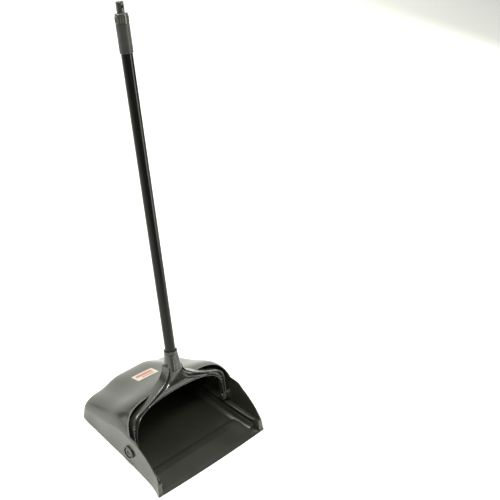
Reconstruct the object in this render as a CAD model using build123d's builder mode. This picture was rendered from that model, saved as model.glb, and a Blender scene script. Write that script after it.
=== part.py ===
from build123d import *

import os
from math import cos, pi, radians, sin, tan

# Upright lobby dust pan: hooded pan, wishbone yoke, long handle, rear wheels.
# Millimetres.  +Z is up, +X is the pan's right, -Y is the mouth (lip) side.
# Stations along the pan are measured backwards from the lip; stations along
# the handle are measured from the pivot, up the handle's axis.

# Driving dimensions of the pan
LIP_HALF = 162.0            # half width across the lip corners
DEPTH = 298.0               # lip corners to the rear wall
LIP_BOW = 3.0               # the lip bows forward of its corners
WALL = 2.6                  # moulded wall
FLOOR_LOW = 0.8             # floor underside, clear of the ground
FLOOR_TOP = 3.8
LEDGE_Z = 27.5              # inner ledge that carries the folded yoke
LEDGE_W = 13.0              # side box from the outer face to the inner face
REAR_ROUND = 11.0           # rounding of the rear wall into the sides
WING_Z = 87.0               # height of the side wings at the hood
HOOD_FOOT = 115.0           # station where the hood edge meets the wings
HOOD_LEAN = radians(38.8)   # hood edge leans back by this much

# Driving dimensions of the handle
PIVOT_Y = 113.9             # pivot station behind the lip
PIVOT_Z = 40.1
LEAN = radians(17.26)       # handle leans back at rest
TUBE_R = 11.1
TUBE_WALL = 1.0
COAT_R = 12.0
TUBE_FOOT = 114.0           # station of the tube's lower end
SOCKET_TOP = 184.0
GRIP_FOOT = 841.6
COLLAR_FOOT = 899.0
COLLAR_TOP = 919.0
TIP_TOP = 941.7
GRIP_R = 13.8
STUB_R = 7.9
FIT = 0.05                  # radial running clearance of every pivot

# Yoke section, measured square to the handle axis (front is towards the lip)
YOKE_FRONT = 10.0
YOKE_BACK = 5.5
YOKE_RIM = 2.6
YOKE_WEB = 3.0
ARM_MID = 135.0             # middle of each arm, across the pan
ARM_HALF = 4.6

PIN_R = 6.0
WHEEL_R = 15.0
WHEEL_W = 14.0
WHEEL_X = 92.0
WHEEL_STATION = 277.0
AXLE_R = 2.5
WELL_W = 20.0
WELL_L = 34.0
WELL_TOP = 33.0
RAMP_END = 47.0
RAMP_Z = 6.0
BOSS_IN = 141.0             # inner boss face, beside the arm
BOSS_OUT = 150.4            # cup floor, outside
CUP_OUT = 153.2
CUP_FLOOR = BOSS_OUT + 0.4
RIVET_R = 2.0
RIVET_AT = 152.0
HANG_AT = 931.0
HANG_R = 3.2
RIBS = 18
RIM_R = 15.6                # rim round the top of the socket

# Sticker on the hood, left of the middle
LABEL_X = -7.0
LABEL_AT = 235.0            # station of its middle
LABEL_LONG = 57.0
LABEL_WIDE = 29.0
LABEL_TURN = -5.0
LABEL_T = 0.25
LABEL_GAP = 0.04            # layer of adhesive under the sticker

# The row's origin is midway, on the ground, between the lip and the tip.
TIP_BACK = PIVOT_Y + TIP_TOP * sin(LEAN) + STUB_R * cos(LEAN)
LIP_Y = -(TIP_BACK - LIP_BOW) / 2

PIVOT = Vector(0, LIP_Y + PIVOT_Y, PIVOT_Z)
AXIS = Vector(0, sin(LEAN), cos(LEAN))
AXIS_SORT = Axis((0, 0, 0), (0, sin(LEAN), cos(LEAN)))
YOKE_PLANE = Plane(origin=PIVOT, x_dir=(1, 0, 0), z_dir=(0, -cos(LEAN), sin(LEAN)))

# Pan sections: (station, half width at the floor, half width at wing height)
STATIONS = [
    (-6.0, 164.5, 165.5),
    (15.0, 157.0, 160.5),
    (36.0, 152.0, 158.5),
    (70.0, 148.5, 157.0),
    (113.0, 145.0, 155.0),
    (155.0, 143.5, 152.0),
    (200.0, 142.0, 148.0),
    (245.0, 140.0, 141.5),
    (DEPTH - REAR_ROUND, 137.5, 136.0),
]
# Half arches, side to crown, as (x, z): under the hood edge and at the rear
FRONT_ARCH = [(152.0, 80.0), (148.0, 100.0), (134.0, 117.0), (106.0, 128.0), (58.0, 132.5), (0.0, 134.5)]
REAR_ARCH = [(136.0, 20.0), (129.0, 39.0), (114.0, 48.5), (84.0, 54.5), (52.0, 69.0), (0.0, 73.0)]
ARCH_FROM = 155.0


def handle_plane(station):
    """Plane square to the handle, at a station up from the pivot."""
    return Plane(origin=PIVOT + AXIS * station, x_dir=(1, 0, 0), z_dir=AXIS)


def arch_points(station, half_side, inset):
    """Half arch at a station, side to crown, drawn in by an inset."""
    t = min(max((station - ARCH_FROM) / (DEPTH - ARCH_FROM), 0.0), 1.0)
    spread = half_side / ((1 - t) * FRONT_ARCH[0][0] + t * REAR_ARCH[0][0])
    points = []
    last = len(FRONT_ARCH) - 1
    for k, (front, rear) in enumerate(zip(FRONT_ARCH, REAR_ARCH)):
        x = ((1 - t) * front[0] + t * rear[0]) * spread
        z = (1 - t) * front[1] + t * rear[1]
        points.append((x * (half_side - inset) / half_side, z - inset * k / last))
    return points


def pan_section(station, half_floor, half_side, inset):
    """Closed section of the pan, square to Y."""
    half = arch_points(station, half_side, inset)
    left = [(-x, z) for x, z in half[:-1]]
    foot = half_floor - inset
    with BuildSketch(Plane.XZ.offset(-(LIP_Y + station))) as section:
        with BuildLine():
            Line((-foot, 0), (foot, 0))
            Line((foot, 0), half[0])
            Spline(*(half + left[::-1]), tangents=[(-0.02, 1), (-0.02, -1)])
            Line(left[0], (-foot, 0))
        make_face()
    return section


def pan_loft(inset, rounded):
    """Solid through the pan's sections, drawn in by an inset. Its right half is the one used."""
    rows = [row + (inset,) for row in STATIONS]
    start, floor_end, side_end = STATIONS[-1]
    reach = DEPTH - start - inset
    for turn in (35, 65, 90):
        step = REAR_ROUND * (1 - cos(radians(turn))) if rounded else 0.0
        rows.append((start + reach * sin(radians(turn)), floor_end, side_end, inset + step))
    with BuildPart() as body:
        for station, half_floor, half_side, draw in rows:
            add(pan_section(station, half_floor, half_side, draw).sketch)
        loft()
    return body.part


def side_box(stations, inner, outer, low, high):
    """Box that follows one side of the pan, between two depths from its outer face."""
    widths = {station: half for station, half, _ in STATIONS}
    line = [(widths[station] - outer, LIP_Y + station) for station in stations]
    line += [(widths[station] - inner, LIP_Y + station) for station in stations[::-1]]
    with BuildPart() as box:
        with BuildSketch(Plane.XY.offset(low)):
            with BuildLine():
                Polyline(*line, close=True)
            make_face()
        extrude(amount=high - low)
    return box.part


def upper_hollow():
    """Room inside the wings and the hood, above the ledge."""
    with BuildPart() as upper:
        add(pan_loft(WALL, True))
        with Locations((0, LIP_Y + DEPTH / 2, LEDGE_Z / 2 - 20)):
            Box(400, 400, LEDGE_Z + 40, mode=Mode.SUBTRACT)
    return upper.part


def lower_hollow():
    """Room between the side boxes, from the floor to the ledge."""
    rows = [(station, half_floor) for station, half_floor, _ in STATIONS[:-1]]
    rows.append((DEPTH - WALL - 3, 132.0))
    with BuildPart() as lower:
        for station, half_floor in rows:
            foot = half_floor - LEDGE_W
            with BuildSketch(Plane.XZ.offset(-(LIP_Y + station))):
                with BuildLine():
                    Polyline(
                        (-foot, FLOOR_TOP),
                        (foot, FLOOR_TOP),
                        (foot + 3.5, LEDGE_Z + 0.5),
                        (-foot - 3.5, LEDGE_Z + 0.5),
                        close=True,
                    )
                make_face()
        loft(ruled=True)
    return lower.part


def make_pan_body():
    """Floor, side walls, wings and hood, moulded in one piece."""
    wing = [(9.0, 27.0), (22.0, 44.5), (37.0, 57.0), (52.0, 66.5), (66.0, 73.5), (80.0, 79.5)]
    crest = 200.0
    hood_y = HOOD_FOOT + (crest - WING_Z) * tan(HOOD_LEAN)
    with BuildPart() as pan_body:
        add(pan_loft(0.0, True))
        # hollow above the ledge
        add(upper_hollow(), mode=Mode.SUBTRACT)
        # hollow between the side boxes, down to the floor
        add(lower_hollow(), mode=Mode.SUBTRACT)
        # open the mouth: everything above the wings and ahead of the hood edge
        with BuildSketch(Plane.YZ) as mouth:
            with BuildLine():
                Polyline((LIP_Y - 20, 4.5), (LIP_Y + 1.5, 4.5), (LIP_Y + wing[0][0], wing[0][1]))
                Spline(
                    *[(LIP_Y + y, z) for y, z in wing + [(97.0, WING_Z)]],
                    tangents=[(1, 1.9), (1, 0)],
                )
                Polyline(
                    (LIP_Y + 97.0, WING_Z),
                    (LIP_Y + HOOD_FOOT, WING_Z),
                    (LIP_Y + hood_y, crest),
                    (LIP_Y - 20, crest),
                    (LIP_Y - 20, 4.5),
                )
            make_face()
        extrude(amount=200, both=True, mode=Mode.SUBTRACT)
        # ramp behind the lip, a low step behind it, and the thin lip itself
        with BuildSketch(Plane.YZ) as ramp:
            with BuildLine():
                Polyline(
                    (LIP_Y + 8, FLOOR_TOP - 1),
                    (LIP_Y + 8, FLOOR_TOP),
                    (LIP_Y + RAMP_END, RAMP_Z),
                    (LIP_Y + RAMP_END + 16, RAMP_Z - 0.8),
                    (LIP_Y + RAMP_END + 22, FLOOR_TOP),
                    (LIP_Y + RAMP_END + 22, FLOOR_TOP - 1),
                    close=True,
                )
            make_face()
        extrude(amount=136, both=True)
        with BuildSketch(Plane.YZ) as lip:
            with BuildLine():
                Polyline(
                    (LIP_Y - 20, 1.2),
                    (LIP_Y - LIP_BOW, 1.2),
                    (LIP_Y + 11, FLOOR_TOP + 0.4),
                    (LIP_Y + 11, FLOOR_TOP + 1.2),
                    (LIP_Y - 20, FLOOR_TOP + 1.2),
                    close=True,
                )
            make_face()
        extrude(amount=LIP_HALF - 13, both=True, mode=Mode.SUBTRACT)
        # bowed front edge
        with BuildSketch(Plane.XY.offset(-5)) as bow:
            with BuildLine():
                ThreePointArc((-170, LIP_Y + 0.5), (0, LIP_Y - LIP_BOW), (170, LIP_Y + 0.5))
                Polyline((170, LIP_Y + 0.5), (170, LIP_Y - 30), (-170, LIP_Y - 30), (-170, LIP_Y + 0.5))
            make_face()
        extrude(amount=200, mode=Mode.SUBTRACT)
        # underside: relieved floor and open channels under the ledges
        with BuildSketch(Plane.XY) as relief:
            with Locations((0, LIP_Y + 22 + (DEPTH - 32) / 2)):
                Rectangle(260, DEPTH - 32)
        extrude(amount=FLOOR_LOW, mode=Mode.SUBTRACT)
        channel = side_box([36.0, 70.0, 113.0, 155.0, 200.0, 245.0], WALL, LEDGE_W - WALL, -1, LEDGE_Z - WALL)
        add(channel, mode=Mode.SUBTRACT)
        add(mirror(channel, about=Plane.YZ), mode=Mode.SUBTRACT)
        # wheel housings
        for side in (-1, 1):
            with Locations((side * WHEEL_X, LIP_Y + WHEEL_STATION, (WELL_TOP + WALL) / 2)):
                Box(WELL_W + 2 * WALL, WELL_L + 2 * WALL, WELL_TOP + WALL)
        for side in (-1, 1):
            with Locations((side * WHEEL_X, LIP_Y + WHEEL_STATION, WELL_TOP / 2 - 1)):
                Box(WELL_W, WELL_L, WELL_TOP + 2, mode=Mode.SUBTRACT)
            with Locations((side * WHEEL_X, LIP_Y + WHEEL_STATION, WHEEL_R)):
                Cylinder(AXLE_R, WELL_W + 4 * WALL, rotation=(0, 90, 0), mode=Mode.SUBTRACT)
        # pivot bosses, inside and outside each wing
        for side in (-1, 1):
            with Locations((side * (BOSS_IN + BOSS_OUT) / 2, PIVOT.Y, PIVOT.Z)):
                Cylinder(12.0, BOSS_OUT - BOSS_IN, rotation=(0, 90, 0))
            with Locations((side * (BOSS_OUT + CUP_OUT) / 2, PIVOT.Y, PIVOT.Z)):
                Cylinder(15.0, CUP_OUT - BOSS_OUT + 4, rotation=(0, 90, 0))
            with Locations((side * (BOSS_OUT + 5), PIVOT.Y, PIVOT.Z)):
                Cylinder(12.4, 10, rotation=(0, 90, 0), mode=Mode.SUBTRACT)
            with Locations((side * (BOSS_IN + BOSS_OUT) / 2, PIVOT.Y, PIVOT.Z)):
                Cylinder(PIN_R + FIT, 40, rotation=(0, 90, 0), mode=Mode.SUBTRACT)
        # the left half mirrors the right
        split(bisect_by=Plane.YZ)
        mirror(about=Plane.YZ)
    return pan_body


OUTER_EDGE = [
    (17.5, 150), (20.5, 137), (29, 124.5), (52, 108), (85, 93), (114, 82), (130.5, 72),
    (138, 58), (139.6, 42),
]
INNER_EDGE = [(130.4, 12), (129, 34), (123, 54), (109, 68), (85, 76.5), (55, 82), (0, 85.5)]

FAN_RIB = [(11, 128), (20, 112), (37, 101), (60, 92.5), (86, 84)]
RIB = 2.6


def shifted(points, distance):
    """Points moved sideways, to the right of their direction of travel."""
    moved = []
    for k, (x, y) in enumerate(points):
        ahead = points[min(k + 1, len(points) - 1)]
        behind = points[max(k - 1, 0)]
        along = Vector(ahead[0] - behind[0], ahead[1] - behind[1]).normalized()
        moved.append((x + along.Y * distance, y - along.X * distance))
    return moved


def half_yoke_outline(inset):
    """Right half of the yoke seen square to its plane, drawn in by an inset."""
    outer = shifted(OUTER_EDGE, inset)
    inner = shifted(INNER_EDGE, inset)
    inner[-1] = (0, INNER_EDGE[-1][1] + inset)
    outer[0] = (outer[0][0], OUTER_EDGE[0][1] - inset)
    foot = 3 * inset
    with BuildSketch() as outline:
        with BuildLine():
            Polyline(inner[-1], (0, outer[0][1]), outer[0])
            Spline(*outer, tangents=[(0.1, -1), (0, -1)])
            Polyline(outer[-1], (outer[-1][0], foot), (inner[0][0], foot), inner[0])
            Spline(*inner, tangents=[(0, 1), (-1, 0)])
        make_face()
    return outline.sketch


def make_yoke():
    """Wishbone moulding: ribbed arch, two arms and the socket for the tube."""
    with BuildPart() as yoke:
        with BuildSketch(YOKE_PLANE.offset(-YOKE_BACK)):
            add(half_yoke_outline(0))
        extrude(amount=YOKE_BACK + YOKE_FRONT)
        # pockets leave a rim all round and a web between front and back
        with BuildSketch(YOKE_PLANE.offset(YOKE_WEB / 2)):
            add(half_yoke_outline(YOKE_RIM))
        extrude(amount=YOKE_FRONT, mode=Mode.SUBTRACT)
        with BuildSketch(YOKE_PLANE.offset(-YOKE_WEB / 2)):
            add(half_yoke_outline(YOKE_RIM))
        extrude(amount=-YOKE_BACK, mode=Mode.SUBTRACT)
        # fan rib from the socket into the arch
        with BuildSketch(YOKE_PLANE):
            with BuildLine():
                Spline(*shifted(FAN_RIB, RIB / 2))
                Line(shifted(FAN_RIB, RIB / 2)[-1], shifted(FAN_RIB, -RIB / 2)[-1])
                Spline(*shifted(FAN_RIB, -RIB / 2))
                Line(shifted(FAN_RIB, -RIB / 2)[0], shifted(FAN_RIB, RIB / 2)[0])
            make_face()
        extrude(amount=YOKE_FRONT - 0.8)
        # cross rib under the socket and short ribs below it
        with BuildSketch(YOKE_PLANE):
            with Locations((13, 100)):
                Rectangle(26, 2.4)
        extrude(amount=YOKE_FRONT - 2.2)
        with BuildSketch(YOKE_PLANE):
            with Locations((7, 93.3), (19, 92.8)):
                Rectangle(2.2, 12)
        extrude(amount=YOKE_FRONT - 3)
        mirror(about=Plane.YZ)
        # socket: eight-sided, tapering up to a plain rim
        with BuildSketch(handle_plane(108)):
            RegularPolygon(18.0, 8, major_radius=False, rotation=22.5)
        with BuildSketch(handle_plane(140)):
            RegularPolygon(18.2, 8, major_radius=False, rotation=22.5)
        with BuildSketch(handle_plane(SOCKET_TOP - 6)):
            RegularPolygon(14.6, 8, major_radius=False, rotation=22.5)
        loft(ruled=True)
        with BuildSketch(handle_plane(SOCKET_TOP - 6)):
            Circle(RIM_R)
        extrude(amount=4.8)
        with BuildSketch(handle_plane(SOCKET_TOP - 1.2)):
            Circle(RIM_R)
        extrude(amount=1.2, taper=35)
        with BuildSketch(handle_plane(TUBE_FOOT)):
            Circle(COAT_R)
        extrude(amount=100, mode=Mode.SUBTRACT)
        # pivot eyes at the arm ends
        for side in (-1, 1):
            with Locations((side * ARM_MID, PIVOT.Y, PIVOT.Z)):
                Cylinder(10.5, 2 * ARM_HALF, rotation=(0, 90, 0))
            with Locations((side * (ARM_MID - ARM_HALF), PIVOT.Y, PIVOT.Z)):
                Cylinder(8.0, 4, rotation=(0, 90, 0))
        for side in (-1, 1):
            with Locations((side * ARM_MID, PIVOT.Y, PIVOT.Z)):
                Cylinder(PIN_R, 40, rotation=(0, 90, 0), mode=Mode.SUBTRACT)
        # cross hole for the rivet
        with BuildSketch(Plane(origin=PIVOT + AXIS * RIVET_AT, x_dir=AXIS, z_dir=(1, 0, 0))):
            Circle(RIVET_R)
        extrude(amount=60, both=True, mode=Mode.SUBTRACT)
    return yoke


def make_pivot_pin(side):
    """Headed pin that joins one arm to its side wall."""
    with BuildPart() as pin:
        shank = CUP_FLOOR - (ARM_MID - ARM_HALF - 2)
        with Locations((side * (CUP_FLOOR - shank / 2), PIVOT.Y, PIVOT.Z)):
            Cylinder(PIN_R, shank, rotation=(0, 90, 0))
        with Locations((side * (CUP_FLOOR + 1.5), PIVOT.Y, PIVOT.Z)):
            Cylinder(11.0, 3.0, rotation=(0, 90, 0))
        fillet(pin.edges().sort_by(Axis.X)[-1 if side > 0 else 0], 1.2)
        with Locations((side * (CUP_FLOOR + 3), PIVOT.Y, PIVOT.Z)):
            Cylinder(4.5, 2.4, rotation=(0, 90, 0), mode=Mode.SUBTRACT)
    return pin


def make_tube():
    """Steel tube, open at both ends, with the rivet's cross hole."""
    with BuildPart() as tube:
        with BuildSketch(handle_plane(TUBE_FOOT + 0.3)):
            Circle(TUBE_R)
            Circle(TUBE_R - TUBE_WALL, mode=Mode.SUBTRACT)
        extrude(amount=COLLAR_FOOT - TUBE_FOOT - 0.3)
        with BuildSketch(Plane(origin=PIVOT + AXIS * RIVET_AT, x_dir=AXIS, z_dir=(1, 0, 0))):
            Circle(RIVET_R)
        extrude(amount=60, both=True, mode=Mode.SUBTRACT)
    return tube


def make_coating():
    """Vinyl sleeve drawn over the whole tube."""
    with BuildPart() as coating:
        with BuildSketch(handle_plane(TUBE_FOOT + 0.3)):
            Circle(COAT_R - 0.02)
            Circle(TUBE_R + 0.02, mode=Mode.SUBTRACT)
        extrude(amount=COLLAR_FOOT - TUBE_FOOT - 0.3)
        with BuildSketch(Plane(origin=PIVOT + AXIS * RIVET_AT, x_dir=AXIS, z_dir=(1, 0, 0))):
            Circle(RIVET_R)
        extrude(amount=60, both=True, mode=Mode.SUBTRACT)
    return coating


def make_rivet():
    """Rivet through socket and tube, set flush in the socket's flats."""
    half = 17.6
    with BuildPart() as rivet:
        with BuildSketch(Plane(origin=PIVOT + AXIS * RIVET_AT, x_dir=AXIS, z_dir=(1, 0, 0))):
            Circle(RIVET_R)
        extrude(amount=half, both=True)
        for side in (-1, 1):
            head = Plane(
                origin=PIVOT + AXIS * RIVET_AT + Vector(side * half, 0, 0), x_dir=AXIS, z_dir=(side, 0, 0)
            )
            with BuildSketch(head):
                Circle(3.6)
            extrude(amount=1.2, taper=25)
    return rivet


def make_tube_plug():
    """Foot plug inside the tube's lower end."""
    with BuildPart() as plug:
        with BuildSketch(handle_plane(TUBE_FOOT + 0.6)):
            Circle(TUBE_R - TUBE_WALL)
        extrude(amount=18)
        chamfer(plug.faces().sort_by(AXIS_SORT)[-1].edges(), 1.5)
        with BuildSketch(handle_plane(TUBE_FOOT + 4)):
            Circle(6.5)
        extrude(amount=20, mode=Mode.SUBTRACT)
    return plug


def make_grip():
    """Soft sleeve under the collar."""
    with BuildPart() as grip:
        with BuildSketch(handle_plane(GRIP_FOOT)):
            Circle(GRIP_R)
        extrude(amount=COLLAR_FOOT - GRIP_FOOT - 0.3)
        fillet(grip.faces().sort_by(AXIS_SORT)[0].edges(), 1.0)
        with BuildSketch(handle_plane(GRIP_FOOT)):
            Circle(COAT_R)
        extrude(amount=100, mode=Mode.SUBTRACT)
    return grip


def make_hanger_cap():
    """End cap: ribbed collar, stub with the hang hole, spigot inside the tube."""
    with BuildPart() as cap:
        with BuildSketch(handle_plane(COLLAR_FOOT)):
            Circle(GRIP_R - 0.6)
        extrude(amount=COLLAR_TOP - COLLAR_FOOT)
        chamfer(cap.faces().sort_by(AXIS_SORT)[-1].edges(), 1.0)
        for k in range(RIBS):
            angle = 2 * pi * k / RIBS
            with BuildSketch(handle_plane(COLLAR_FOOT + 2)):
                with Locations(((GRIP_R - 0.6) * cos(angle), (GRIP_R - 0.6) * sin(angle))):
                    Circle(0.9)
            extrude(amount=12)
        with BuildSketch(handle_plane(COLLAR_TOP)):
            Circle(STUB_R)
        extrude(amount=TIP_TOP - COLLAR_TOP)
        fillet(cap.faces().sort_by(AXIS_SORT)[-1].edges(), 2.4)
        with BuildSketch(handle_plane(COLLAR_FOOT)):
            Circle(TUBE_R - TUBE_WALL)
        extrude(amount=-26)
        chamfer(cap.faces().sort_by(AXIS_SORT)[0].edges(), 1.5)
        with BuildSketch(Plane(origin=PIVOT + AXIS * HANG_AT, x_dir=(1, 0, 0), z_dir=YOKE_PLANE.z_dir)):
            Circle(HANG_R)
        extrude(amount=30, both=True, mode=Mode.SUBTRACT)
    return cap


def make_wheel(side):
    """Moulded rear wheel: rounded rim, thin web, hub."""
    centre = (side * WHEEL_X, LIP_Y + WHEEL_STATION, WHEEL_R)
    with BuildPart() as wheel:
        with Locations(centre):
            Cylinder(WHEEL_R, WHEEL_W, rotation=(0, 90, 0))
        fillet(wheel.edges().filter_by(GeomType.CIRCLE), 1.5)
        for face in (-1, 1):
            with Locations((centre[0] + face * WHEEL_W / 2, centre[1], centre[2])):
                Cylinder(12.0, 9, rotation=(0, 90, 0), mode=Mode.SUBTRACT)
        with Locations(centre):
            Cylinder(5.5, WHEEL_W, rotation=(0, 90, 0))
        with Locations(centre):
            Cylinder(AXLE_R + FIT, 30, rotation=(0, 90, 0), mode=Mode.SUBTRACT)
    return wheel


def make_axle(side):
    """Headed pin across one wheel housing."""
    reach = WELL_W / 2 + WALL
    with BuildPart() as axle:
        with Locations((side * WHEEL_X, LIP_Y + WHEEL_STATION, WHEEL_R)):
            Cylinder(AXLE_R, 2 * reach, rotation=(0, 90, 0))
        for end in (-1, 1):
            with Locations((side * WHEEL_X + end * (reach + 0.9), LIP_Y + WHEEL_STATION, WHEEL_R)):
                Cylinder(4.2, 1.8, rotation=(0, 90, 0))
    return axle


def make_label():
    """Thin printed sticker that follows the hood behind its crown."""
    with BuildPart() as label:
        add(pan_loft(-LABEL_GAP - LABEL_T, True))
        add(pan_loft(-LABEL_GAP, True), mode=Mode.SUBTRACT)
        split(bisect_by=Plane.YZ)
        mirror(about=Plane.YZ)
        with BuildSketch(Plane.XY.offset(60)):
            with Locations(Location((LABEL_X, LIP_Y + LABEL_AT, 0), (0, 0, LABEL_TURN))):
                RectangleRounded(LABEL_LONG, LABEL_WIDE, 2.0)
        extrude(amount=100, mode=Mode.INTERSECT)
    return label


if __name__ == "__main__":
    os.makedirs("parts", exist_ok=True)
    pieces = {
        "pan_body": make_pan_body(),
        "label": make_label(),
        "yoke": make_yoke(),
        "pivot_pin_left": make_pivot_pin(-1),
        "pivot_pin_right": make_pivot_pin(1),
        "handle_tube": make_tube(),
        "tube_coating": make_coating(),
        "tube_plug": make_tube_plug(),
        "socket_rivet": make_rivet(),
        "grip_sleeve": make_grip(),
        "hanger_cap": make_hanger_cap(),
        "rear_wheel_left": make_wheel(-1),
        "rear_wheel_right": make_wheel(1),
        "wheel_axle_left": make_axle(-1),
        "wheel_axle_right": make_axle(1),
    }
    for name, piece in pieces.items():
        piece.part.label = name
        export_step(piece.part, f"parts/{name}.step")
        box = piece.part.bounding_box()
        print(name, round(piece.part.volume), piece.part.is_valid, box.min, box.max)
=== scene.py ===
"""Upright lobby dust pan: hooded pan, wishbone yoke, coated handle and rear wheels."""

import logging
import math
from dataclasses import dataclass, field
from enum import Enum
from typing import Any, Optional, Sequence, Union

import bmesh
import bpy
from mathutils import Matrix, Vector


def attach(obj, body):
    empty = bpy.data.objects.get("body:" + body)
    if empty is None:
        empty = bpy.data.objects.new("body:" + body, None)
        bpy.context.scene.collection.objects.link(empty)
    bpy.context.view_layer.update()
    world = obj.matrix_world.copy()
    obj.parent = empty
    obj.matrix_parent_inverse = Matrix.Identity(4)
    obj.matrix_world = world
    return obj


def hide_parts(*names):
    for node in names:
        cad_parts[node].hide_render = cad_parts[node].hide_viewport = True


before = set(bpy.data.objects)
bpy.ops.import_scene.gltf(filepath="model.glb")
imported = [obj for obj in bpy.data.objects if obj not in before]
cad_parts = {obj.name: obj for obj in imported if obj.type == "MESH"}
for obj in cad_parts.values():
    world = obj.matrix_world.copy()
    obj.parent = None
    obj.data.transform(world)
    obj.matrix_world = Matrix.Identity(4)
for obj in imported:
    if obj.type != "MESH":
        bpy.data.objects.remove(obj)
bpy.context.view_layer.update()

LOG = logging.getLogger("dust_pan")
MM = 0.001
WELD = 1e-6
MIX_FACTOR, MIX_FIRST, MIX_SECOND, MIX_COLOUR = 0, 6, 7, 2

Colour = tuple[float, float, float]
Point = tuple[float, float]
WARM: Colour = (0.985, 1.0, 0.90)


# ---------------------------------------------------------------- shader kit


class Sock:
    """One output socket that takes part in Python expressions."""

    def __init__(self, net: "Net", socket: bpy.types.NodeSocket) -> None:
        """Keeps the socket and the net it belongs to."""
        self.net = net
        self.socket = socket

    def _maths(self, operation: str, first: Any, second: Any) -> "Sock":
        """Adds one Math node.

        Args:
            operation: The Math node's operation.
            first: Value or socket of the first input.
            second: Value or socket of the second input.

        Returns:
            The node's result.
        """
        return self.net.add("ShaderNodeMath", {"operation": operation}, {0: first, 1: second})

    def __add__(self, other: "Term") -> "Sock":
        """Sum."""
        return self._maths("ADD", self, other)

    def __radd__(self, other: "Term") -> "Sock":
        """Reflected sum."""
        return self._maths("ADD", other, self)

    def __sub__(self, other: "Term") -> "Sock":
        """Difference."""
        return self._maths("SUBTRACT", self, other)

    def __rsub__(self, other: "Term") -> "Sock":
        """Reflected difference."""
        return self._maths("SUBTRACT", other, self)

    def __mul__(self, other: "Term") -> "Sock":
        """Product."""
        return self._maths("MULTIPLY", self, other)

    def __rmul__(self, other: "Term") -> "Sock":
        """Reflected product."""
        return self._maths("MULTIPLY", other, self)

    def __abs__(self) -> "Sock":
        """Magnitude."""
        return self._maths("ABSOLUTE", self, 0.0)

    def step(self, low: float, high: float) -> "Sock":
        """Smooth step of this value.

        Args:
            low: Value that gives 0.
            high: Value that gives 1.

        Returns:
            The smoothed share between the two.
        """
        settings = {"interpolation_type": "SMOOTHSTEP"}
        if low < high:
            ends = {"From Min": low, "From Max": high, "To Min": 0.0, "To Max": 1.0}
        else:
            ends = {"From Min": high, "From Max": low, "To Min": 1.0, "To Max": 0.0}
        return self.net.add("ShaderNodeMapRange", settings, {"Value": self, **ends})


Term = Union[Sock, float, int]


class Net:
    """A material's node tree, filled by expressions."""

    def __init__(self, name: str) -> None:
        """Makes an empty material with its output node."""
        self.material = bpy.data.materials.new(name)
        self.material.use_nodes = True
        self.tree = self.material.node_tree
        self.tree.nodes.clear()
        self.output = self.tree.nodes.new("ShaderNodeOutputMaterial")

    def add(
        self,
        kind: str,
        settings: Optional[dict[str, Any]] = None,
        inputs: Optional[dict[Any, Any]] = None,
        output: Union[int, str] = 0,
    ) -> Sock:
        """Adds a node and hands back one of its outputs.

        Args:
            kind: Node type.
            settings: Properties, set before the inputs.
            inputs: Values or sockets, by input name or index.
            output: Name or index of the wanted output.

        Returns:
            The output as an expression term.
        """
        node = self.tree.nodes.new(kind)
        for key, value in (settings or {}).items():
            setattr(node, key, value)
        for key, value in (inputs or {}).items():
            socket = node.inputs[key]
            if isinstance(value, Sock):
                self.tree.links.new(value.socket, socket)
            elif isinstance(value, tuple) and socket.type == "RGBA":
                socket.default_value = (*value, 1.0)
            else:
                socket.default_value = value
        return Sock(self, node.outputs[output])

    def where(self) -> Sock:
        """Object coordinates, which are the row frame's metres."""
        return self.add("ShaderNodeTexCoord", output="Object")

    def stretched(self, vector: Sock, scale: Sequence[float]) -> Sock:
        """Coordinates scaled axis by axis."""
        settings = {"operation": "MULTIPLY"}
        return self.add("ShaderNodeVectorMath", settings, {0: vector, 1: tuple(scale)})

    def along(self, vector: Sock, direction: Sequence[float], origin: Sequence[float]) -> Sock:
        """Distance along a direction.

        Args:
            vector: Coordinates.
            direction: Unit direction.
            origin: Where the distance is zero.

        Returns:
            The distance, in metres.
        """
        kind = "ShaderNodeVectorMath"
        shifted = self.add(kind, {"operation": "SUBTRACT"}, {0: vector, 1: tuple(origin)})
        inputs = {0: shifted, 1: tuple(direction)}
        return self.add(kind, {"operation": "DOT_PRODUCT"}, inputs, "Value")

    def noise(self, vector: Sock, scale: float, detail: float = 3.0, rough: float = 0.5) -> Sock:
        """Fractal noise in 0 to 1.

        Args:
            vector: Coordinates.
            scale: Cells per metre.
            detail: Octaves.
            rough: Weight of the finer octaves.

        Returns:
            The noise value.
        """
        inputs = {"Vector": vector, "Scale": scale, "Detail": detail, "Roughness": rough}
        return self.add("ShaderNodeTexNoise", {}, inputs, "Fac")

    def mix(self, factor: Term, first: Any, second: Any) -> Sock:
        """Mixes two colours.

        Args:
            factor: Share of the second colour.
            first: Colour or socket.
            second: Colour or socket.

        Returns:
            The mixed colour.
        """
        inputs = {MIX_FACTOR: factor, MIX_FIRST: first, MIX_SECOND: second}
        return self.add("ShaderNodeMix", {"data_type": "RGBA"}, inputs, MIX_COLOUR)

    def bump(
        self, height: Sock, strength: float, distance: float, under: Optional[Sock] = None
    ) -> Sock:
        """Turns a height into a normal.

        Args:
            height: Height value.
            strength: Share of the effect.
            distance: Height of 1, in metres.
            under: Normal that this one lies over.

        Returns:
            The bent normal.
        """
        inputs: dict[Any, Any] = {"Strength": strength, "Distance": distance, "Height": height}
        if under is not None:
            inputs["Normal"] = under
        return self.add("ShaderNodeBump", {}, inputs, "Normal")

    def surface(self, **inputs: Any) -> bpy.types.Material:
        """Closes the net with a Principled shader.

        Args:
            **inputs: Principled inputs, with underscores for spaces.

        Returns:
            The finished material.
        """
        named = {key.replace("_", " "): value for key, value in inputs.items()}
        shader = self.add("ShaderNodeBsdfPrincipled", {}, named)
        self.tree.links.new(shader.socket, self.output.inputs["Surface"])
        return self.material


# ---------------------------------------------------------------- finishes


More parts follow.
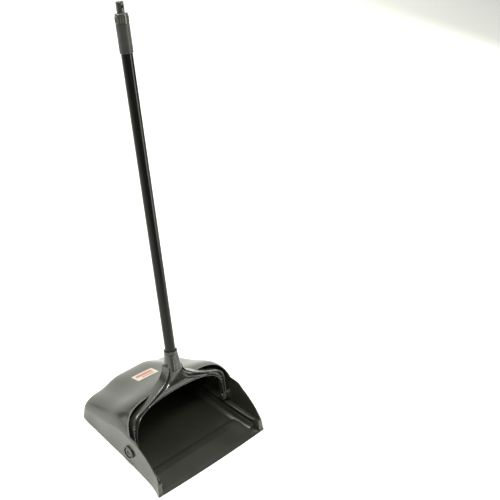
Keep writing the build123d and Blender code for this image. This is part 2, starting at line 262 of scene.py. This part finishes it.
@dataclass(frozen=True)
class MouldedPlastic:
    """Injection-moulded black plastic with a fine spark texture, flow shading and rub marks."""

    name: str
    colour: Colour
    dusty: Colour
    gloss_low: float = 0.30
    gloss_high: float = 0.44
    grain: float = 0.00004
    wear: float = 0.4

    def make(self) -> bpy.types.Material:
        """Builds the finish.

        Returns:
            The material.
        """
        net = Net(self.name)
        place = net.where()
        flow = net.noise(net.stretched(place, (6.0, 14.0, 9.0)), 1.0, 2.0)
        cloud = net.noise(place, 22.0, 4.0, 0.6)
        fine = net.noise(place, 1500.0, 2.0, 0.6)
        streaks = net.noise(net.stretched(place, (60.0, 420.0, 200.0)), 1.0, 3.0, 0.65)
        scuff = streaks.step(0.60, 0.74)
        edge = net.add("ShaderNodeNewGeometry", output="Pointiness").step(0.515, 0.60)
        worn = (scuff * 0.35 + edge * 0.65) * self.wear
        tone = net.mix(flow * 0.55 + cloud * 0.35, self.colour, self.dusty)
        rubbed = tuple(min(1.0, c * 2.2 + 0.01) for c in self.dusty)
        colour = net.mix(worn, tone, rubbed)
        spread = self.gloss_high - self.gloss_low
        rough = (cloud * 0.6 + flow * 0.4) * spread + self.gloss_low + scuff * 0.07
        soft = net.bump(cloud, 0.35, 0.0004)
        normal = net.bump(fine, 0.5, self.grain, soft)
        return net.surface(
            Base_Color=colour,
            Roughness=rough,
            Normal=normal,
            IOR=1.5,
            Coat_Weight=0.2,
            Coat_Roughness=0.16,
        )


@dataclass(frozen=True)
class VinylCoat:
    """Glossy black vinyl drawn over a tube, with faint long waves."""

    name: str
    colour: Colour
    axis: Colour

    def make(self) -> bpy.types.Material:
        """Builds the finish.

        Returns:
            The material.
        """
        net = Net(self.name)
        place = net.where()
        run = net.along(place, self.axis, (0.0, 0.0, 0.0))
        wave = net.noise(net.stretched(place, (90.0, 40.0, 9.0)), 1.0, 2.0)
        fine = net.noise(place, 700.0, 3.0, 0.6)
        rub = net.noise(net.stretched(place, (240.0, 240.0, 26.0)), 1.0, 3.0, 0.6).step(0.60, 0.78)
        foot = run.step(0.42, 0.16)
        colour = net.mix(rub * 0.2 + foot * 0.12, self.colour, (0.022, 0.0215, 0.018))
        rough = 0.10 + wave * 0.08 + rub * 0.12 + foot * 0.05
        normal = net.bump(fine, 0.25, 0.00005, net.bump(wave, 0.35, 0.0006))
        return net.surface(
            Base_Color=colour,
            Roughness=rough,
            Normal=normal,
            IOR=1.24,
            Coat_Weight=0.12,
            Coat_Roughness=0.08,
        )


@dataclass(frozen=True)
class GripVinyl:
    """Soft satin vinyl of the grip, a little greyer where hands rub it."""

    name: str
    colour: Colour

    def make(self) -> bpy.types.Material:
        """Builds the finish.

        Returns:
            The material.
        """
        net = Net(self.name)
        place = net.where()
        cloud = net.noise(place, 60.0, 4.0, 0.6)
        fine = net.noise(place, 1900.0, 2.0, 0.5)
        rub = net.noise(place, 34.0, 3.0, 0.6).step(0.45, 0.75)
        colour = net.mix(rub * 0.4 + cloud * 0.2, self.colour, (0.030, 0.030, 0.027))
        rough = 0.40 + cloud * 0.12 - rub * 0.08
        normal = net.bump(fine, 0.5, 0.00008, net.bump(cloud, 0.2, 0.0003))
        return net.surface(Base_Color=colour, Roughness=rough, Normal=normal, IOR=1.5)


@dataclass(frozen=True)
class DrawnSteel:
    """Bright steel with drawing lines along one axis."""

    name: str
    colour: Colour
    stretch: Colour
    rough: float = 0.28

    def make(self) -> bpy.types.Material:
        """Builds the finish.

        Returns:
            The material.
        """
        net = Net(self.name)
        place = net.where()
        lines = net.noise(net.stretched(place, self.stretch), 1.0, 3.0, 0.6)
        spots = net.noise(place, 300.0, 3.0, 0.6).step(0.58, 0.75)
        colour = net.mix(lines * 0.5, self.colour, tuple(c * 0.72 for c in self.colour))
        colour = net.mix(spots * 0.3, colour, (0.22, 0.20, 0.17))
        rough = self.rough + lines * 0.14 + spots * 0.15
        normal = net.bump(lines, 0.3, 0.00005)
        return net.surface(Base_Color=colour, Roughness=rough, Metallic=1.0, Normal=normal)


@dataclass(frozen=True)
class PrintedFilm:
    """Cream film printed with a plain red bar, a thin red rule and a border."""

    name: str
    middle: Colour
    turn_deg: float
    half_long: float
    half_wide: float
    border: float = 0.0022
    blur: float = 0.0002

    def make(self) -> bpy.types.Material:
        """Builds the finish.

        Returns:
            The material.
        """
        net = Net(self.name)
        place = net.where()
        turn = math.radians(self.turn_deg)
        across = net.along(place, (math.cos(turn), math.sin(turn), 0.0), self.middle)
        up = net.along(place, (-math.sin(turn), math.cos(turn), 0.0), self.middle)
        bar = self._bar(across, up, 0.0, 0.0220, 0.0040, 0.0046)
        rule = self._bar(across, up, 0.0040, 0.0170, -0.0062, 0.0024)
        inner_long, inner_wide = self.half_long - self.border, self.half_wide - self.border
        frame_mask = 1.0 - self._bar(across, up, 0.0, inner_long, 0.0, inner_wide)
        fade = net.noise(place, 900.0, 3.0, 0.6)
        age = net.noise(place, 90.0, 3.0, 0.6)
        paper = net.mix(age * 0.5, (0.36, 0.35, 0.295), (0.30, 0.29, 0.235))
        paper = net.mix(frame_mask * 0.7, paper, (0.23, 0.225, 0.18))
        ink = (bar + rule) * (0.80 + fade * 0.2)
        colour = net.mix(ink, paper, (0.25, 0.012, 0.020))
        rough = 0.36 + age * 0.12 - ink * 0.06
        normal = net.bump(fade, 0.15, 0.00004)
        return net.surface(
            Base_Color=colour, Roughness=rough, Normal=normal, Coat_Weight=0.2, Coat_Roughness=0.2
        )

    def _bar(
        self, across: Sock, up: Sock, x: float, half_x: float, y: float, half_y: float
    ) -> Sock:
        """Mask of a printed rectangle.

        Args:
            across: Coordinate along the label.
            up: Coordinate across the label.
            x: Middle of the bar along the label.
            half_x: Half its length.
            y: Middle of the bar across the label.
            half_y: Half its height.

        Returns:
            1 inside the bar and 0 outside.
        """
        wide = abs(across - x).step(half_x + self.blur, half_x - self.blur)
        tall = abs(up - y).step(half_y + self.blur, half_y - self.blur)
        return wide * tall


# ---------------------------------------------------------------- mesh kit


def smooth_points(points: Sequence[Vector], steps: int) -> list[Vector]:
    """Fills a row of points with a Catmull-Rom curve.

    Args:
        points: Points the curve passes through.
        steps: Spans between neighbouring points.

    Returns:
        The finer row.
    """
    filled: list[Vector] = []
    last = len(points) - 1
    for k in range(last):
        before = points[max(k - 1, 0)]
        after = points[min(k + 2, last)]
        start, end = points[k], points[k + 1]
        for j in range(steps):
            t = j / steps
            a = 2 * start
            b = (end - before) * t
            c = (2 * before - 5 * start + 4 * end - after) * t * t
            d = (3 * start - before - 3 * end + after) * t ** 3
            filled.append((a + b + c + d) * 0.5)
    filled.append(points[last].copy())
    return filled


def sheet(rows: Sequence[Sequence[Vector]], wrap: bool = False) -> bmesh.types.BMesh:
    """Quads over a grid of points.

    Args:
        rows: Rows of equal length.
        wrap: Whether each row closes on itself.

    Returns:
        The new mesh.
    """
    mesh = bmesh.new()
    grid = [[mesh.verts.new(point) for point in row] for row in rows]
    count = len(rows[0])
    for upper, lower in zip(grid[:-1], grid[1:]):
        for k in range(count if wrap else count - 1):
            following = (k + 1) % count
            mesh.faces.new((upper[k], upper[following], lower[following], lower[k]))
    return mesh


def finish_mesh(
    name: str, mesh: bmesh.types.BMesh, material: bpy.types.Material
) -> bpy.types.Object:
    """Closes a bmesh into a smooth object.

    Args:
        name: Object name.
        mesh: The bmesh, which is freed.
        material: Its finish.

    Returns:
        The linked object.
    """
    bmesh.ops.remove_doubles(mesh, verts=mesh.verts, dist=WELD)
    bmesh.ops.recalc_face_normals(mesh, faces=mesh.faces)
    data = bpy.data.meshes.new(name)
    mesh.to_mesh(data)
    mesh.free()
    data.polygons.foreach_set("use_smooth", [True] * len(data.polygons))
    data.materials.append(material)
    piece = bpy.data.objects.new(name, data)
    bpy.context.scene.collection.objects.link(piece)
    return piece


def joined(parts: Sequence[bmesh.types.BMesh]) -> bmesh.types.BMesh:
    """Puts several bmeshes into one.

    Args:
        parts: The bmeshes, which are freed.

    Returns:
        The bmesh that holds them all.
    """
    whole = bmesh.new()
    for part in parts:
        data = bpy.data.meshes.new("part")
        part.to_mesh(data)
        part.free()
        whole.from_mesh(data)
        bpy.data.meshes.remove(data)
    return whole


def dress(nodes: Sequence[str], material: bpy.types.Material) -> None:
    """Gives CAD nodes one finish.

    Args:
        nodes: Names of the nodes.
        material: Their finish.
    """
    for node in nodes:
        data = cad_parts[node].data
        data.materials.clear()
        data.materials.append(material)
        LOG.info("%s dressed in %s", node, material.name)


# ---------------------------------------------------------------- the object


@dataclass
class HandleFrame:
    """The handle's own frame: pivot, lean and the ways across, up and forward."""

    pivot: Vector = field(default_factory=lambda: Vector((0.0, -0.0850272, 0.0401)))
    lean: float = math.radians(17.26)

    def at(self, x: float, s: float, d: float) -> Vector:
        """Point in the row frame.

        Args:
            x: Distance to the right, in mm.
            s: Distance up the handle from the pivot, in mm.
            d: Distance towards the mouth, in mm.

        Returns:
            The point, in metres.
        """
        front = Vector((0.0, -math.cos(self.lean), math.sin(self.lean)))
        return self.pivot + (Vector((x, 0.0, 0.0)) + self.axis() * s + front * d) * MM

    def around(self, s: float, radius: float, angle: float) -> Vector:
        """Point on a circle about the handle's axis.

        Args:
            s: Station up the handle, in mm.
            radius: Radius, in mm.
            angle: Angle from the right towards the mouth, in radians.

        Returns:
            The point, in metres.
        """
        return self.at(radius * math.cos(angle), s, radius * math.sin(angle))

    def axis(self) -> Vector:
        """Unit vector up the handle."""
        return Vector((0.0, math.sin(self.lean), math.cos(self.lean)))


class Side(Enum):
    """Left or right of the pan."""

    LEFT = -1
    RIGHT = 1


@dataclass
class PanShell:
    """The moulded pan with its sticker, rolled ledge edges and rounded floor corners."""

    plastic: bpy.types.Material
    film: bpy.types.Material
    lip: float = -198.927
    walls: Sequence[tuple[float, float]] = (
        (20.0, 155.8), (36.0, 152.0), (70.0, 148.5), (113.0, 145.0), (155.0, 143.5),
        (200.0, 142.0), (245.0, 140.0), (284.0, 137.6),
    )
    ledge: float = 13.0
    ledge_top: float = 28.0
    floor_top: float = 3.8
    wall_lean: float = 3.5
    bead_radius: float = 3.0
    bead_middle: Point = (-3.9, 25.9)
    bead_points: int = 24
    corner_radius: float = 12.0
    corner_low: float = 3.5

    def dress(self) -> None:
        """Gives the pan and its sticker their finishes."""
        dress(["pan_body", "pivot_pin_left", "pivot_pin_right"], self.plastic)
        dress(["label"], self.film)

    def build(self) -> None:
        """Adds the rolled edges and the corner fillets on both sides."""
        trims = (
            ("ledge_edge", self._edge_profile(), 0.0),
            ("floor_corner", self._corner_profile(), self.wall_lean),
        )
        for side in Side:
            for name, profile, lean in trims:
                mesh = self._swept(side, profile, lean)
                piece = finish_mesh(f"{name}_{side.name.lower()}", mesh, self.plastic)
                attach(piece, "pan")
                LOG.info("%s: %d faces", piece.name, len(piece.data.polygons))

    def _edge_profile(self) -> list[Point]:
        """Draws the round section over the ledge's inner edge.

        Returns:
            Its closed outline, as (towards the middle, up) in mm.
        """
        x, z = self.bead_middle
        turn = 2 * math.pi / self.bead_points
        return [
            (x + self.bead_radius * math.cos(k * turn), z + self.bead_radius * math.sin(k * turn))
            for k in range(self.bead_points)
        ]

    def _corner_profile(self) -> list[Point]:
        """Draws the fillet section in the floor corner, which sinks a little into wall and floor.

        Returns:
            Its closed outline, as (towards the middle, up) in mm.
        """
        radius = self.corner_radius
        top = radius + self.floor_top + 0.1
        arc = []
        for k in range(9):
            angle = math.pi + k * math.pi / 16
            arc.append((radius + 0.2 + radius * math.cos(angle), top + radius * math.sin(angle)))
        return arc + [(radius, self.corner_low), (-0.6, self.corner_low), (-0.6, top)]

    def _swept(self, side: Side, profile: Sequence[Point], lean: float) -> bmesh.types.BMesh:
        """Sweeps a section along one inner wall.

        Args:
            side: Which wall.
            profile: Closed section.
            lean: How far the section leans outwards between floor and ledge, in mm.

        Returns:
            The swept mesh with closed ends.
        """
        foot = [Vector((half - self.ledge, self.lip + station)) for station, half in self.walls]
        rows = []
        for point in smooth_points(foot, 4):
            ring = []
            for inwards, up in profile:
                shift = lean * max(0.0, up - self.floor_top) / (self.ledge_top - self.floor_top)
                across = point.x - inwards + shift
                ring.append(Vector((side.value * across, point.y, up)) * MM)
            rows.append(ring)
        mesh = sheet(rows, wrap=True)
        mesh.verts.ensure_lookup_table()
        count = len(profile)
        mesh.faces.new([mesh.verts[k] for k in range(count)])
        mesh.faces.new([mesh.verts[k] for k in range(len(mesh.verts) - count, len(mesh.verts))])
        return mesh


@dataclass
class YokeMoulding:
    """Wishbone moulding with rolled rims, fan ridges, arm rungs, pivot eyes and the socket.

    Outlines are (right, up the handle) in mm from the pivot, and depths are mm towards the mouth.
    """

    handle: HandleFrame
    plastic: bpy.types.Material
    front: float = 9.8
    back: float = -5.3
    web_front: float = 1.5
    web_back: float = -1.5
    rim: float = 3.0
    rim_flat: float = 2.6
    rim_fall: float = 2.3
    ridge_height: float = 7.2
    ridge_width: float = 2.1
    skirt_height: float = 2.6
    skirt_width: float = 6.5
    cross_rib: float = 101.0
    cross_reach: float = 27.0
    rung_height: float = 4.6
    rung_width: float = 1.2
    arm_start: float = 0.70
    eye_points: int = 48
    ring_points: int = 96
    socket_foot: float = 99.0
    flare_top: float = 138.0
    neck_top: float = 178.4
    socket_top: float = 184.0
    socket_half: float = 18.2
    bore: float = 12.15
    squareness: float = 3.4
    panel: Point = (140.0, 174.0)
    panel_half: float = 0.46
    panel_depth: float = 1.5
    panel_pitch: float = 5.4
    pairs: Sequence[tuple[Point, Point]] = (
        ((0.0, 150.0), (0.0, 85.5)),
        ((9.0, 150.0), (8.0, 85.4)),
        ((17.3, 149.0), (14.0, 85.2)),
        ((20.5, 137.0), (22.0, 84.9)),
        ((29.0, 124.5), (34.0, 84.2)),
        ((40.0, 115.5), (48.0, 83.0)),
        ((52.0, 108.0), (58.0, 81.6)),
        ((68.5, 100.0), (70.0, 79.7)),
        ((85.0, 93.0), (82.0, 77.2)),
        ((100.0, 87.3), (94.0, 73.6)),
        ((114.0, 82.0), (105.0, 69.8)),
        ((123.5, 77.3), (113.0, 64.8)),
        ((130.5, 72.0), (118.5, 59.3)),
        ((135.6, 65.0), (122.3, 53.5)),
        ((138.0, 58.0), (125.2, 47.0)),
        ((139.3, 50.0), (127.3, 41.0)),
        ((139.5, 42.0), (128.8, 34.0)),
        ((139.5, 30.0), (129.8, 24.0)),
        ((139.5, 18.0), (130.3, 14.0)),
        ((139.5, 3.0), (130.4, 3.0)),
    )
    fan: Sequence[Point] = (
        (12.0, 131.0), (15.0, 120.0), (22.0, 110.5), (37.0, 101.5),
        (60.0, 93.0), (85.0, 84.8), (97.0, 79.8),
    )
    rungs: Sequence[float] = (62.0, 54.5, 47.0, 39.5, 32.0, 24.5, 17.0)

    def build(self) -> bpy.types.Object:
        """Builds the moulding.

        Returns:
            The finished piece.
        """
        halves = [self._arch(side) for side in Side]
        eyes = [self._eye(side) for side in Side]
        whole = joined(halves + eyes + [self._socket()])
        piece = finish_mesh("yoke_moulding", whole, self.plastic)
        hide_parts("yoke")
        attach(piece, "handle")
        LOG.info("yoke moulding: %d faces", len(piece.data.polygons))
        return piece

    def _fan_distance(self, x: float, s: float) -> tuple[float, float]:
        """Distance to the fan ridge.

        Args:
            x: Distance from the middle, in mm.
            s: Distance up the handle, in mm.

        Returns:
            The distance in mm and the share of the ridge's length at the nearest point.
        """
        best, share = 1e9, 0.0
        spans = len(self.fan) - 1
        for k in range(spans):
            a, b = Vector(self.fan[k]), Vector(self.fan[k + 1])
            t = max(0.0, min(1.0, (Vector((x, s)) - a).dot(b - a) / (b - a).length_squared))
            gap = (Vector((x, s)) - a.lerp(b, t)).length
            if gap < best:
                best, share = gap, (k + t) / spans
        return best, share

    def _front_depth(self, x: float, s: float, outer: float, inner: float, course: float) -> float:
        """Height of the front face over the yoke's plane.

        Args:
            x: Distance from the middle, in mm.
            s: Distance up the handle, in mm.
            outer: Distance from the outer edge, in mm.
            inner: Distance from the inner edge, in mm.
            course: 0 at the middle of the arch, 1 at the pivot.

        Returns:
            The height, in mm.
        """
        full = self.front - self.web_front
        upper_rim = full / (1 + (max(0.0, outer - self.rim_flat) / self.rim_fall) ** 4)
        gap, share = self._fan_distance(x, s)
        fade = min(1.0, share * 5 + 0.55) * min(1.0, (1 - share) * 6 + 0.2)
        ridge = self.ridge_height * fade * math.exp(-((gap / self.ridge_width) ** 2))
        skirt = self.skirt_height * fade * math.exp(-((gap / self.skirt_width) ** 2))
        rise = 0.30 + 0.70 * min(1.0, max(0.0, (course - 0.42) * 5))
        low_rim = rise * full / (1 + (inner / (self.rim * 0.9)) ** 4)
        reach = max(0.0, min(1.0, (self.cross_reach - x) / 3))
        cross = 2.8 * math.exp(-(((s - self.cross_rib) / 1.3) ** 2)) * reach
        arm = 0.0
        if course > self.arm_start:
            for rung in self.rungs:
                bar = self.rung_height * math.exp(-(((s - rung) / self.rung_width) ** 2))
                arm = max(arm, bar)
        return self.web_front + max(upper_rim, ridge + skirt, low_rim, cross + 0.4, arm)

    def _arch(self, side: Side) -> bmesh.types.BMesh:
        """One half of the arch with its arm.

        Args:
            side: Which half.

        Returns:
            Its closed sheet.
        """
        outers = smooth_points([Vector(pair[0]) for pair in self.pairs], 5)
        inners = smooth_points([Vector(pair[1]) for pair in self.pairs], 5)
        span = len(outers) - 1
        rows = []
        for k, (outer, inner) in enumerate(zip(outers, inners)):
            width = (outer - inner).length
            course = k / span
            spots = self._spread(width)
            ring: list[Vector] = []
            for spot in spots:
                point = outer.lerp(inner, spot / width)
                depth = self._front_depth(point.x, point.y, spot, width - spot, course)
                depth = depth - self._rounded(spot, 3.0) - self._rounded(width - spot, 1.8)
                ring.append(self._turned(side, point, depth))
            for spot in reversed(spots):
                point = outer.lerp(inner, spot / width)
                outer_rim = (self._flange(point.x) - self.web_back) / (1 + (spot / 3.2) ** 6)
                inner_rim = (self.back - self.web_back) / (1 + ((width - spot) / self.rim) ** 4)
                depth = self.web_back + min(outer_rim, inner_rim)
                depth = depth + self._rounded(spot, 1.2) + self._rounded(width - spot, 1.2)
                ring.append(self._turned(side, point, depth))
            rows.append(ring)
        return sheet(rows, wrap=True)

    def _turned(self, side: Side, point: Vector, depth: float) -> Vector:
        """Point of the arch in the row frame."""
        return self.handle.at(side.value * point.x, point.y, depth)

    def _spread(self, width: float) -> list[float]:
        """Places across the arch, closer together at both edges.

        Args:
            width: Width of the arch there, in mm.

        Returns:
            Distances from the outer edge, in mm.
        """
        near = [0.0, 0.12, 0.4, 0.8, 1.3, 1.9, 2.6, 3.3, 4.0, 4.8]
        middle = [near[-1] + (width - 2 * near[-1]) * k / 22 for k in range(1, 22)]
        return near + middle + [width - spot for spot in reversed(near)]

    def _rounded(self, spot: float, radius: float) -> float:
        """Drop of a face at a rounded edge.

        Args:
            spot: Distance from the edge, in mm.
            radius: Radius of the rounding, in mm.

        Returns:
            The drop, in mm.
        """
        inside = max(0.0, radius - spot)
        return radius - math.sqrt(max(0.0, radius * radius - inside * inside))

    def _flange(self, x: float) -> float:
        """Depth of the outer rim at the back, which overhangs the hood's crown.

        Args:
            x: Distance from the middle, in mm.

        Returns:
            The depth, in mm.
        """
        share = max(0.0, min(1.0, (80.0 - x) / 26.0))
        arm = max(0.0, min(1.0, (x - 132.0) / 5.0))
        return self.back - 10.5 * share * share * (3 - 2 * share) - 4.0 * arm

    def _eye(self, side: Side) -> bmesh.types.BMesh:
        """Pivot eye at the end of one arm.

        Args:
            side: Which arm.

        Returns:
            Its lathed mesh.
        """
        profile = [
            (128.6, 6.1), (128.6, 7.6), (129.0, 8.0), (130.4, 8.0), (130.4, 9.6), (131.0, 10.3),
            (131.9, 10.5), (138.1, 10.5), (139.0, 10.3), (139.6, 9.6), (139.6, 6.1), (128.6, 6.1),
        ]
        rows = []
        for x, radius in profile:
            ring = []
            for k in range(self.eye_points):
                angle = 2 * math.pi * k / self.eye_points
                up, forward = radius * math.cos(angle), radius * math.sin(angle)
                ring.append(self.handle.at(side.value * x, up, forward))
            rows.append(ring)
        return sheet(rows, wrap=True)

    def _socket(self) -> bmesh.types.BMesh:
        """Socket of the handle: soft square flared into the web, rungs front and back, plain rim.

        Returns:
            Its lathed mesh.
        """
        step = 0.75
        count = int((self.neck_top - self.socket_foot) / step)
        rows = [self._socket_ring(self.socket_foot + k * step) for k in range(count + 1)]
        rim = [
            (self.neck_top, 14.9), (178.9, 15.5), (179.6, 15.6), (182.6, 15.6), (183.5, 15.3),
            (self.socket_top, 14.6), (self.socket_top, 13.2), (183.5, 12.5), (182.6, self.bore),
            (176.0, self.bore),
        ]
        for s, radius in rim:
            rows.append([self.handle.around(s, radius, angle) for angle in self._angles()])
        return sheet(rows, wrap=True)

    def _angles(self) -> list[float]:
        """Angles of the points round the socket, in radians."""
        return [2 * math.pi * j / self.ring_points for j in range(self.ring_points)]

    def _socket_ring(self, s: float) -> list[Vector]:
        """One ring of the socket.

        Args:
            s: Station up the handle, in mm.

        Returns:
            The ring's points.
        """
        low, high = self.panel
        taper = max(0.0, min(1.0, (s - self.flare_top) / 40.4))
        size = self.socket_half - 3.4 * taper
        flare = max(0.0, (self.flare_top - s) / 39.0)
        wide = size + 30.0 * flare ** 2.1
        deep_front = size - 14.6 * flare ** 1.25
        deep_back = size - 13.4 * flare ** 1.1
        ring = []
        for angle in self._angles():
            c, v = math.cos(angle), math.sin(angle)
            power = self.squareness
            bulge = 1.0 / (abs(c) ** power + abs(v) ** power) ** (1 / power)
            blend = 1.0 - 0.75 * taper
            reach = 1.0 + (bulge - 1.0) * 0.72 * blend
            recess = 0.0
            if low < s < high and abs(c) < self.panel_half:
                off_rung = (s - low - 2.0) % self.panel_pitch - self.panel_pitch / 2
                rung = math.exp(-(off_rung ** 2))
                edge = min(1.0, (s - low) / 1.5, (high - s) / 1.5)
                edge *= min(1.0, (self.panel_half - abs(c)) / 0.05)
                recess = self.panel_depth * edge * (1 - 0.8 * rung)
            x = c * wide * reach
            d = v * (reach * (deep_front if v > 0 else deep_back) - recess)
            ring.append(self.handle.at(x, s, d))
        return ring


@dataclass
class HandleTube:
    """Coated tube with its plug, rivet, grip and end cap."""

    coat: bpy.types.Material
    grip: bpy.types.Material
    plastic: bpy.types.Material
    steel: bpy.types.Material
    rivet: bpy.types.Material

    def dress(self) -> None:
        """Gives the handle's nodes their finishes."""
        dress(["tube_coating"], self.coat)
        dress(["grip_sleeve"], self.grip)
        dress(["hanger_cap", "tube_plug"], self.plastic)
        dress(["handle_tube"], self.steel)
        dress(["socket_rivet"], self.rivet)


@dataclass
class RearWheels:
    """The two wheels under the rear edge with their pins."""

    plastic: bpy.types.Material
    steel: bpy.types.Material

    def dress(self) -> None:
        """Gives the wheels and pins their finishes."""
        dress(["rear_wheel_left", "rear_wheel_right"], self.plastic)
        dress(["wheel_axle_left", "wheel_axle_right"], self.steel)


# ---------------------------------------------------------------- the studio


@dataclass
class Softbox:
    """One square or oblong area light aimed at a point; lengths in metres."""

    name: str
    place: Colour
    aim: Colour
    size: Point
    watts: float

    def build(self) -> None:
        """Adds the light to the scene."""
        light = bpy.data.lights.new(self.name, "AREA")
        light.shape = "RECTANGLE"
        light.size, light.size_y = self.size
        light.energy = self.watts
        light.color = WARM
        lamp = bpy.data.objects.new(self.name, light)
        lamp.location = self.place
        lamp.rotation_mode = "QUATERNION"
        lamp.rotation_quaternion = (Vector(self.aim) - Vector(self.place)).to_track_quat("-Z", "Y")
        bpy.context.scene.collection.objects.link(lamp)


@dataclass
class Studio:
    """Pale floor, soft lights and the camera."""

    eye: Vector = field(default_factory=lambda: Vector((-1.214749, -1.230467, 1.675819)))
    yaw: float = math.radians(-50.14)
    pitch: float = math.radians(34.44)
    roll: float = math.radians(8.12)
    lens: float = 72.967

    def build(self) -> None:
        """Builds the floor, the lights, the surroundings and the camera."""
        self._floor()
        self._surroundings()
        for box in (
            Softbox("overhead", (-0.3, 0.0, 2.8), (0.0, 0.0, 0.1), (2.5, 2.5), 84.0),
            Softbox("key", (-0.8, -0.55, 2.3), (0.0, -0.05, 0.15), (0.5, 0.5), 36.0),
            Softbox("back_strip", (-0.75, 1.25, 2.2), (0.1, -0.1, 0.0), (0.5, 0.5), 22.0),
            Softbox("left_window", (-2.2, 1.7, 1.0), (0.0, 0.05, 0.4), (0.9, 1.8), 18.0),
            Softbox("right_window", (1.5, -2.2, 0.8), (0.0, 0.05, 0.2), (1.3, 1.5), 40.0),
            Softbox("right_wall", (2.4, 0.45, 1.1), (0.0, 0.0, 0.12), (1.0, 1.0), 34.0),
            Softbox("back_wall", (1.0, 3.0, 1.25), (0.0, 0.0, 0.3), (5.0, 2.5), 70.0),
        ):
            box.build()
        self._camera()

    def _floor(self) -> None:
        """Adds the pale floor."""
        net = Net("studio_paper")
        place = net.where()
        cloud = net.noise(place, 3.0, 2.0)
        colour = net.mix(cloud, (0.93, 0.93, 0.93), (0.90, 0.90, 0.90))
        paper = net.surface(Base_Color=colour, Roughness=0.9, Specular_IOR_Level=0.1)
        grid = [[Vector((x * 3.0, y * 3.0, 0.0)) for x in range(-3, 4)] for y in range(-3, 4)]
        floor = finish_mesh("studio_floor", sheet(grid), paper)
        for polygon in floor.data.polygons:
            if polygon.normal.z < 0:
                polygon.flip()

    def _surroundings(self) -> None:
        """Sets an even white surround."""
        world = bpy.data.worlds.new("studio_surround")
        world.use_nodes = True
        back = world.node_tree.nodes["Background"]
        back.inputs["Color"].default_value = (1.0, 1.0, 0.995, 1.0)
        back.inputs["Strength"].default_value = 0.16
        bpy.context.scene.world = world
        bpy.context.scene.view_settings.view_transform = "Standard"

    def _camera(self) -> None:
        """Adds the camera."""
        cy, sy = math.cos(self.yaw), math.sin(self.yaw)
        cp, sp = math.cos(self.pitch), math.sin(self.pitch)
        ahead = Vector((-sy * cp, cy * cp, -sp))
        right = Vector((cy, sy, 0.0))
        up = right.cross(ahead)
        c, s = math.cos(self.roll), math.sin(self.roll)
        turned_right = right * c + up * s
        turned_up = up * c - right * s
        data = bpy.data.cameras.new("studio_camera")
        data.lens = self.lens
        data.sensor_width = 36.0
        data.clip_start, data.clip_end = 0.05, 60.0
        camera = bpy.data.objects.new("studio_camera", data)
        turn = Matrix((turned_right, turned_up, -ahead)).transposed().to_4x4()
        camera.matrix_world = Matrix.Translation(self.eye) @ turn
        bpy.context.scene.collection.objects.link(camera)
        bpy.context.scene.camera = camera


def main() -> None:
    """Builds and dresses the dust pan, then the studio."""
    logging.basicConfig(level=logging.INFO, format="%(name)s: %(message)s")
    handle = HandleFrame()
    pan_plastic = MouldedPlastic(
        "pan_polypropylene", (0.0085, 0.0087, 0.0066), (0.019, 0.0192, 0.0148), 0.24, 0.38
    ).make()
    yoke_plastic = MouldedPlastic(
        "yoke_plastic", (0.013, 0.0132, 0.0115), (0.026, 0.0262, 0.0226), 0.17, 0.28
    ).make()
    wheel_plastic = MouldedPlastic(
        "wheel_plastic", (0.010, 0.010, 0.0095), (0.028, 0.027, 0.025), 0.42, 0.6
    ).make()
    vinyl = VinylCoat("tube_vinyl", (0.0035, 0.0035, 0.0031), tuple(handle.axis())).make()
    grip = GripVinyl("grip_vinyl", (0.0095, 0.0095, 0.0085)).make()
    tube_steel = DrawnSteel("tube_steel", (0.56, 0.56, 0.57), (900.0, 900.0, 8.0)).make()
    pin_steel = DrawnSteel("pin_steel", (0.62, 0.62, 0.63), (12.0, 700.0, 700.0), 0.24).make()
    rivet_steel = DrawnSteel(
        "blackened_steel", (0.045, 0.045, 0.043), (300.0, 300.0, 300.0), 0.34
    ).make()
    film = PrintedFilm("label_film", (-0.007, 0.036073, 0.1), -5.0, 0.0285, 0.0145).make()
    pan = PanShell(pan_plastic, film)
    pan.dress()
    pan.build()
    YokeMoulding(handle, yoke_plastic).build()
    HandleTube(vinyl, grip, yoke_plastic, tube_steel, rivet_steel).dress()
    RearWheels(wheel_plastic, pin_steel).dress()
    Studio().build()
    bpy.context.view_layer.update()


if __name__ == "__main__":
    main()
